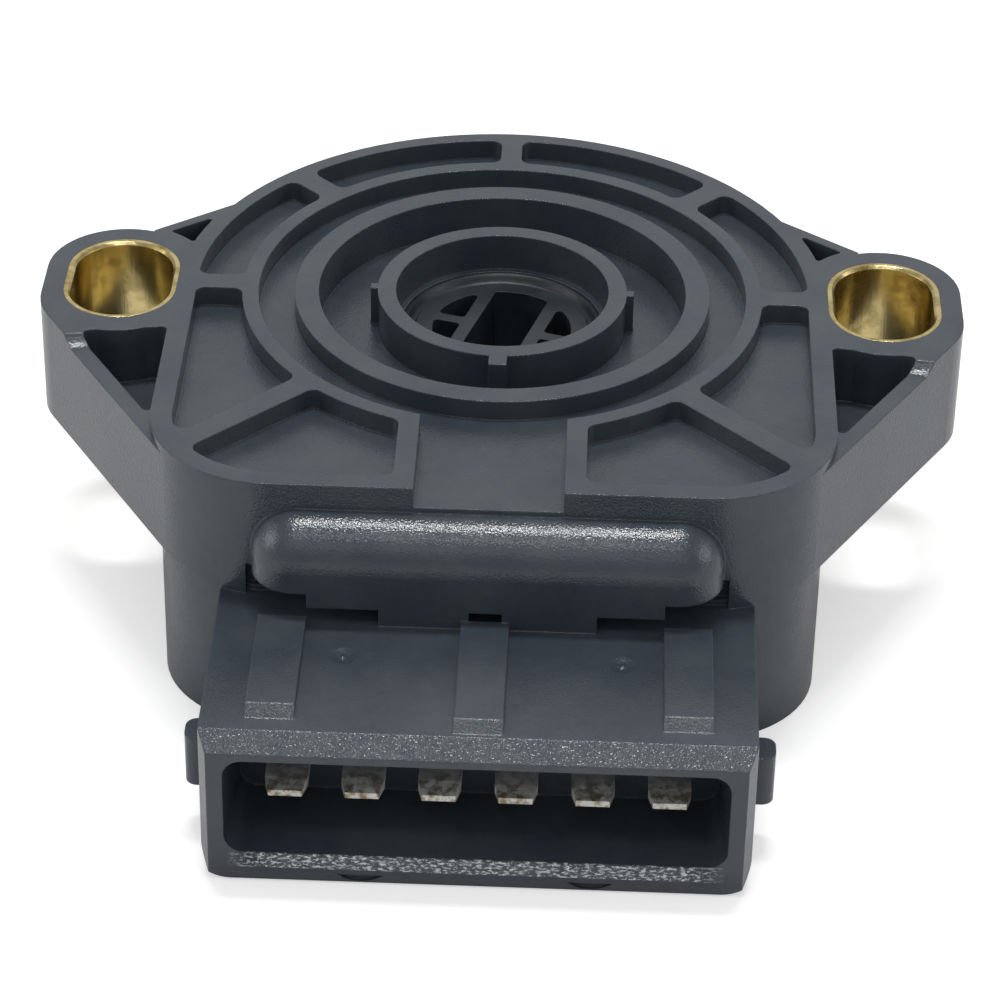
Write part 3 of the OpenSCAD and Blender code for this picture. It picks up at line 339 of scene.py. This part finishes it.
def tinnedBrass(name, settings):
    material, tree, shader, place = startMaterial(name, {"Metallic": 1})
    stretched = addNode(tree, "ShaderNodeMapping", {"Vector": place, "Scale": settings["markAlong"]})
    marks = addNode(tree, "ShaderNodeTexNoise", {
        "Vector": stretched.outputs["Vector"], "Scale": 1 / (settings["markMm"] * mm), "Detail": 3})
    patches = addNode(tree, "ShaderNodeTexNoise", {
        "Vector": place, "Scale": 1 / (settings["patchMm"] * mm), "Detail": 4, "Roughness": 0.7})
    edge = addNode(tree, "ShaderNodeBevel", {"Radius": settings["edgeMm"] * mm}, samples=bevelSamples)
    cuts = addNode(tree, "ShaderNodeBump", {
        "Height": marks.outputs["Fac"], "Distance": settings["markDepthMm"] * mm, "Strength": 1,
        "Normal": edge.outputs["Normal"]})
    along = addNode(tree, "ShaderNodeSeparateXYZ", {"Vector": place})
    nearTip = addNode(tree, "ShaderNodeMapRange", {
        "Value": along.outputs["Y"], "From Min": settings["tipYmm"] * mm,
        "From Max": (settings["tipYmm"] + settings["scrapedMm"]) * mm,
        "To Min": 1, "To Max": settings["scrapedBehind"]})
    rubbed = addNode(tree, "ShaderNodeMapRange", {
        "Value": patches.outputs["Fac"], "From Min": settings["scrapedLow"],
        "From Max": settings["scrapedHigh"]})
    bare = addNode(tree, "ShaderNodeMath", {0: nearTip.outputs["Result"], 1: rubbed.outputs["Result"]},
                   operation="MULTIPLY")
    colour = addNode(tree, "ShaderNodeMix", {
        "Factor": bare.outputs["Value"], mixFrom: linearColour(settings["tinHex"]),
        mixTo: linearColour(settings["scrapedHex"])}, data_type="RGBA")
    rough = addNode(tree, "ShaderNodeMapRange", {
        "Value": patches.outputs["Fac"], "From Min": noiseLow, "From Max": noiseHigh,
        "To Min": settings["roughLow"], "To Max": settings["roughHigh"]})
    film = addNode(tree, "ShaderNodeMapRange", {
        "Value": patches.outputs["Fac"], "From Min": settings["filmLow"], "From Max": settings["filmHigh"],
        "To Min": settings["filmMetallic"], "To Max": 1})
    finishMaterial(tree, shader, {
        "Base Color": colour.outputs[mixResult], "Roughness": rough.outputs["Result"],
        "Metallic": film.outputs["Result"], "Normal": cuts.outputs["Normal"]})
    return material


dress(tinnedBrass("tinPlatedBrass", terminalSettings), *["terminal_%d" % i for i in range(1, 7)])
print("terminals dressed")

# Nitrile rubber, press moulded: a dull near-black with a faint bloom
sealSettings = {
    "darkHex": "10161b",
    "bloomHex": "1e262d",
    "ior": 1.52,
    "roughLow": 0.34,
    "roughHigh": 0.48,
    "bloomMm": 0.8,
    "grainMm": 0.3,  # coarser than the mould's own grain, to show
    "grainDepthMm": 0.006,
    "edgeMm": 0.35,
}
# Filled fluoropolymer, skived from rod: waxy off-white with a fine grain
washerSettings = {
    "darkHex": "c9c4b4",
    "bloomHex": "e4e0d4",
    "ior": 1.35,
    "roughLow": 0.3825,
    "roughHigh": 0.54,
    "bloomMm": 1.5,
    "grainMm": 0.2,  # coarser than the skiving leaves it, to show
    "grainDepthMm": 0.008,
    "edgeMm": 0.05,
}
# Casting resin, poured and cured: a glossy black with slow waves in its skin
sealantSettings = {
    "darkHex": "0d0f11",
    "bloomHex": "1b1e21",
    "ior": 1.56,
    "roughLow": 0.102,
    "roughHigh": 0.144,
    "bloomMm": 4,
    "grainMm": 2.5,  # the waves
    "grainDepthMm": 0.08,
    "edgeMm": 0.15,
}


def softCompound(name, settings):
    material, tree, shader, place = startMaterial(name, {"IOR": settings["ior"]})
    bloom = addNode(tree, "ShaderNodeTexNoise", {
        "Vector": place, "Scale": 1 / (settings["bloomMm"] * mm), "Detail": 4})
    grain = addNode(tree, "ShaderNodeTexNoise", {
        "Vector": place, "Scale": 1 / (settings["grainMm"] * mm), "Detail": 2})
    edge = addNode(tree, "ShaderNodeBevel", {"Radius": settings["edgeMm"] * mm}, samples=bevelSamples)
    skin = addNode(tree, "ShaderNodeBump", {
        "Height": grain.outputs["Fac"], "Distance": settings["grainDepthMm"] * mm, "Strength": 1,
        "Normal": edge.outputs["Normal"]})
    colour = addNode(tree, "ShaderNodeMix", {
        "Factor": bloom.outputs["Fac"], mixFrom: linearColour(settings["darkHex"]),
        mixTo: linearColour(settings["bloomHex"])}, data_type="RGBA")
    rough = addNode(tree, "ShaderNodeMapRange", {
        "Value": bloom.outputs["Fac"], "From Min": noiseLow, "From Max": noiseHigh,
        "To Min": settings["roughLow"], "To Max": settings["roughHigh"]})
    finishMaterial(tree, shader, {
        "Base Color": colour.outputs[mixResult], "Roughness": rough.outputs["Result"],
        "Normal": skin.outputs["Normal"]})
    return material


dress(softCompound("nitrileRubber", sealSettings), "rotor_seal")
dress(softCompound("skivedFluoropolymer", washerSettings), "thrust_washer")
dress(softCompound("castingResin", sealantSettings), "sealant_bead")
print("seal, washer and sealant dressed")

# Spring steel, drawn and oil-tempered: grey with a faint straw tint
springSettings = {
    "brightHex": "a7a9a8",
    "dullHex": "6e6a62",
    "roughLow": 0.25,
    "roughHigh": 0.45,
    "patchMm": 1.2,
    "markMm": 0.1,  # coarser than the marks of the drawing die, to show
    "markDepthMm": 0.006,
}
# Phosphor bronze, rolled and stamped: pinkish gold with a fine grain
wiperSettings = {
    "brightHex": "d9b072",
    "dullHex": "a87a48",
    "roughLow": 0.22,
    "roughHigh": 0.38,
    "patchMm": 0.9,
    "markMm": 0.08,  # coarser than the rolled grain, to show
    "markDepthMm": 0.005,
}
# Tin solder, flowed and frozen: bright with a slightly dimpled skin
solderSettings = {
    "brightHex": "d2d4d6",
    "dullHex": "a3a6a9",
    "roughLow": 0.15,
    "roughHigh": 0.35,
    "patchMm": 0.6,
    "markMm": 0.3,
    "markDepthMm": 0.02,
}


def smallMetal(name, settings):
    material, tree, shader, place = startMaterial(name, {"Metallic": 1})
    patches = addNode(tree, "ShaderNodeTexNoise", {
        "Vector": place, "Scale": 1 / (settings["patchMm"] * mm), "Detail": 4})
    marks = addNode(tree, "ShaderNodeTexNoise", {
        "Vector": place, "Scale": 1 / (settings["markMm"] * mm), "Detail": 2})
    skin = addNode(tree, "ShaderNodeBump", {
        "Height": marks.outputs["Fac"], "Distance": settings["markDepthMm"] * mm, "Strength": 1})
    colour = addNode(tree, "ShaderNodeMix", {
        "Factor": patches.outputs["Fac"], mixFrom: linearColour(settings["brightHex"]),
        mixTo: linearColour(settings["dullHex"])}, data_type="RGBA")
    rough = addNode(tree, "ShaderNodeMapRange", {
        "Value": patches.outputs["Fac"], "From Min": noiseLow, "From Max": noiseHigh,
        "To Min": settings["roughLow"], "To Max": settings["roughHigh"]})
    finishMaterial(tree, shader, {
        "Base Color": colour.outputs[mixResult], "Roughness": rough.outputs["Result"],
        "Normal": skin.outputs["Normal"]})
    return material


dress(smallMetal("oilTemperedSpringSteel", springSettings), "return_spring", "wave_washer")
dress(smallMetal("phosphorBronze", wiperSettings), "wiper_inner", "wiper_outer")
dress(smallMetal("tinSolder", solderSettings), "solder_joints")
print("springs, wipers and solder dressed")

# Glass-epoxy laminate with screen-printed carbon tracks: woven green board, matt black rings
boardSettings = {
    "laminateHex": "3d5f3f",
    "weaveHex": "56794f",
    "carbonHex": "141414",
    "ior": 1.55,
    "laminateRough": 0.35,
    "carbonRough": 0.6,
    "weaveMm": 0.6,
    "seamShare": 0.03,
    "trackFromZmm": -14.88,  # the board's own top is at -14.9, and the tracks stand over it
}


def printedBoard(name, settings):
    material, tree, shader, place = startMaterial(name, {"IOR": settings["ior"]})
    weave = addNode(tree, "ShaderNodeTexBrick", {
        "Vector": place, "Scale": 1 / (settings["weaveMm"] * mm), "Mortar Size": settings["seamShare"],
        "Color1": linearColour(settings["laminateHex"]), "Color2": linearColour(settings["weaveHex"]),
        "Mortar": linearColour(settings["laminateHex"])})
    height = addNode(tree, "ShaderNodeSeparateXYZ", {"Vector": place})
    printed = addNode(tree, "ShaderNodeMath", {
        0: height.outputs["Z"], 1: settings["trackFromZmm"] * mm}, operation="GREATER_THAN")
    colour = addNode(tree, "ShaderNodeMix", {
        "Factor": printed.outputs["Value"], mixFrom: weave.outputs["Color"],
        mixTo: linearColour(settings["carbonHex"])}, data_type="RGBA")
    rough = addNode(tree, "ShaderNodeMapRange", {
        "Value": printed.outputs["Value"], "To Min": settings["laminateRough"],
        "To Max": settings["carbonRough"]})
    finishMaterial(tree, shader, {
        "Base Color": colour.outputs[mixResult], "Roughness": rough.outputs["Result"]})
    return material


dress(printedBoard("glassEpoxyLaminate", boardSettings), "element_board")
print("board dressed")

# White paper sweep under the part: it looks white to the camera, and keeps the part's shadow
floorSettings = {
    "sizeM": 4,
    "gapMm": 0.02,
    "paperHex": "e9e9e9",
    "rough": 0.9,
    "specular": 0.1,
    "fibreMm": 2.5,  # real fibres are far finer, drawn this coarse to show as a faint unevenness
    "fibreTone": 0.97,
    "cameraGlow": 0.45,
}


def makeFloor(settings):
    half = settings["sizeM"] / 2
    low = cadBox[0][2] - settings["gapMm"] * mm
    mesh = bpy.data.meshes.new("floor")
    corners = [(-half, -half, low), (half, -half, low), (half, half, low), (-half, half, low)]
    mesh.from_pydata(corners, [], [(0, 1, 2, 3)])
    floor = bpy.data.objects.new("floor", mesh)
    bpy.context.scene.collection.objects.link(floor)
    material, tree, shader, place = startMaterial("whitePaper", {
        "Roughness": settings["rough"], "Specular IOR Level": settings["specular"],
        "Emission Color": linearColour("ffffff")})
    fibre = addNode(tree, "ShaderNodeTexNoise", {
        "Vector": place, "Scale": 1 / (settings["fibreMm"] * mm), "Detail": 2})
    tone = addNode(tree, "ShaderNodeMapRange", {
        "Value": fibre.outputs["Fac"], "To Min": settings["fibreTone"], "To Max": 1})
    paper = addNode(tree, "ShaderNodeMix", {
        "Factor": tone.outputs["Result"], mixFrom: linearColour("000000"),
        mixTo: linearColour(settings["paperHex"])}, data_type="RGBA")
    seen = addNode(tree, "ShaderNodeLightPath")
    glow = addNode(tree, "ShaderNodeMath", {0: seen.outputs["Is Camera Ray"], 1: settings["cameraGlow"]},
                   operation="MULTIPLY")
    finishMaterial(tree, shader, {
        "Base Color": paper.outputs[mixResult], "Emission Strength": glow.outputs["Value"]})
    mesh.materials.append(material)


makeFloor(floorSettings)
print("floor laid")

# A small softbox and a strip overhead, a weak fill low in front, a softbox each side and a white
# wall behind. Places and sizes are in metres
lightSettings = {
    "overhead": {"at": (0.0, 0.1, 0.75), "size": (0.26, 0.08), "radiance": 43},
    "frontStrip": {"at": (0.0, -0.3, 0.7), "size": (0.4, 0.08), "radiance": 6},
    "frontFill": {"at": (0.0, -0.56, 0.5), "size": (0.6, 0.2), "radiance": 0.7},
    "leftSide": {"at": (-0.75, -0.1, 0.3), "size": (0.5, 0.45), "radiance": 2.1},
    "rightSide": {"at": (0.75, -0.1, 0.3), "size": (0.5, 0.45), "radiance": 1.65},
    "backWall": {"at": (0.0, 0.9, 0.5), "size": (1.6, 0.9), "radiance": 0.37},
}


# An area lamp that faces the part
def addSoftbox(name, settings):
    wide, high = settings["size"]
    lamp = bpy.data.lights.new(name, "AREA")
    lamp.shape = "RECTANGLE"
    lamp.size = wide
    lamp.size_y = high
    lamp.energy = settings["radiance"] * math.pi * wide * high  # its watts, from its radiance
    box = bpy.data.objects.new(name, lamp)
    box.location = settings["at"]
    box.rotation_euler = Vector(settings["at"]).to_track_quat("Z", "Y").to_euler()
    bpy.context.scene.collection.objects.link(box)


for lampName, lampSettings in lightSettings.items():
    addSoftbox(lampName, lampSettings)

# The room is pure white to the camera, and lights the part more weakly than that
roomSettings = {"lightStrength": 0.35, "cameraStrength": 1}
world = bpy.data.worlds.new("whiteRoom")
world.use_nodes = True
bpy.context.scene.world = world
worldTree = world.node_tree
background = worldTree.nodes["Background"]
background.inputs["Color"].default_value = linearColour("ffffff")
worldPath = addNode(worldTree, "ShaderNodeLightPath")
worldLevel = addNode(worldTree, "ShaderNodeMapRange", {
    "Value": worldPath.outputs["Is Camera Ray"], "To Min": roomSettings["lightStrength"],
    "To Max": roomSettings["cameraStrength"]})
worldTree.links.new(worldLevel.outputs["Result"], background.inputs["Strength"])
print("lights set")

# The camera stands where the photograph was taken from, worked out from the part's own sizes
cameraSettings = {
    "yawDeg": 1.4225,
    "pitchDeg": 34.293,
    "rollDeg": 1.109,
    "atMm": (5.868, -231.549, 139.771),
    "focalPx": 3780.6,
    "imagePx": 1000,
    "sensorMm": 36,
    "nearM": 0.01,
    "farM": 20,
}


def placeCamera(settings):
    yaw, pitch, roll = (math.radians(settings[key]) for key in ("yawDeg", "pitchDeg", "rollDeg"))
    back = Vector((math.sin(yaw) * math.cos(pitch), -math.cos(yaw) * math.cos(pitch), math.sin(pitch)))
    right = Vector((math.cos(yaw), math.sin(yaw), 0))
    up = back.cross(right)
    tiltedRight = math.cos(roll) * right + math.sin(roll) * up
    tiltedUp = math.cos(roll) * up - math.sin(roll) * right
    lens = bpy.data.cameras.new("photoCamera")
    lens.sensor_width = settings["sensorMm"]
    lens.lens = settings["focalPx"] * settings["sensorMm"] / settings["imagePx"]
    lens.clip_start = settings["nearM"]
    lens.clip_end = settings["farM"]
    camera = bpy.data.objects.new("photoCamera", lens)
    turn = Matrix((tiltedRight, tiltedUp, back)).transposed().to_4x4()
    camera.matrix_world = Matrix.Translation(Vector(settings["atMm"]) * mm) @ turn
    bpy.context.scene.collection.objects.link(camera)
    bpy.context.scene.camera = camera


placeCamera(cameraSettings)
bpy.context.scene.view_settings.view_transform = "Standard"
print("camera placed")
